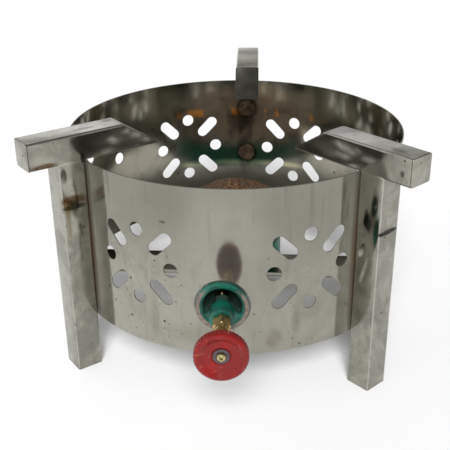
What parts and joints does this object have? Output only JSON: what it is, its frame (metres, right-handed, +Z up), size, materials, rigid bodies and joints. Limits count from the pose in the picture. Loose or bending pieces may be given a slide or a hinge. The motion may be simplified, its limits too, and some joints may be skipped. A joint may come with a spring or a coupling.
{
  "type": "gas burner stand",
  "caption": "Round sheet-steel burner stand with square-tube legs, radial pot arms, cast-iron gas burner and hand-wheel needle valve.",
  "frame": {"origin": "centre of the bottom of the bounding box, on the floor under the shell", "axes": "+Z up, +Y from the bell mouth through the burner towards the rear leg, +X to the right of someone facing the knob"},
  "size_m": [0.3836, 0.5046, 0.2604],
  "materials": {
    "polished_steel": "polished stainless sheet and tube, faint smudges and heat tint",
    "weld_metal": "burnt weld, brown and dull",
    "green_enamel": "cast iron in gloss green enamel, scorched near the flame",
    "burnt_iron": "bare cast iron, rusted and scorched",
    "brass": "turned brass, dull",
    "red_plastic": "gloss moulded plastic",
    "zinc_plate": "yellow zinc plate",
    "packing": "white packing ring"
  },
  "bodies": {
    "stand": {"shell": "polished_steel", "leg_left": "polished_steel", "foot_plate_left": "polished_steel", "arm_left": "polished_steel", "arm_tip_plate_left": "polished_steel", "arm_end_plate_left": "polished_steel", "leg_weld_left_upper": "weld_metal", "leg_weld_left_lower": "weld_metal", "leg_right": "polished_steel", "foot_plate_right": "polished_steel", "arm_right": "polished_steel", "arm_tip_plate_right": "polished_steel", "arm_end_plate_right": "polished_steel", "leg_weld_right_upper": "weld_metal", "leg_weld_right_lower": "weld_metal", "leg_rear": "polished_steel", "foot_plate_rear": "polished_steel", "arm_rear": "polished_steel", "arm_tip_plate_rear": "polished_steel", "arm_end_plate_rear": "polished_steel", "leg_weld_rear_upper": "weld_metal", "leg_weld_rear_lower": "weld_metal", "burner_strap": "polished_steel", "burner_bowl": "green_enamel", "mixing_tube": "green_enamel", "injector_jet": "brass", "valve_body": "brass", "gland_packing": "packing", "gland_nut": "brass", "hose_barb": "brass", "burner_bolt_washer_left": "zinc_plate", "burner_bolt_left": "zinc_plate", "burner_bolt_washer_right": "zinc_plate", "burner_bolt_right": "zinc_plate"},
    "spindle": {"valve_spindle": "brass"},
    "handwheel": {"handwheel": "red_plastic", "handwheel_washer": "zinc_plate", "handwheel_screw": "zinc_plate"},
    "burner_cap": {"burner_cap": "burnt_iron"}
  },
  "joints": [
    {"name": "spindle_travel", "type": "slide", "parent": "stand", "child": "spindle", "axis": [0.0767, -0.9971, 0], "range_m": [0, 0.0025]},
    {"name": "handwheel_turn", "type": "hinge", "parent": "spindle", "child": "handwheel", "pos_m": [0.01284, -0.24391, 0.1135], "axis": [0.0767, -0.9971, 0], "range_deg": [0, 720]},
    {"name": "burner_cap_lift", "type": "slide", "parent": "stand", "child": "burner_cap", "axis": [0, 0, 1], "range_m": [0, 0.13]}
  ],
  "couplings": [
    {"joint": "spindle_travel", "follows": "handwheel_turn", "m_per_rad": 0.00019894}
  ]
}
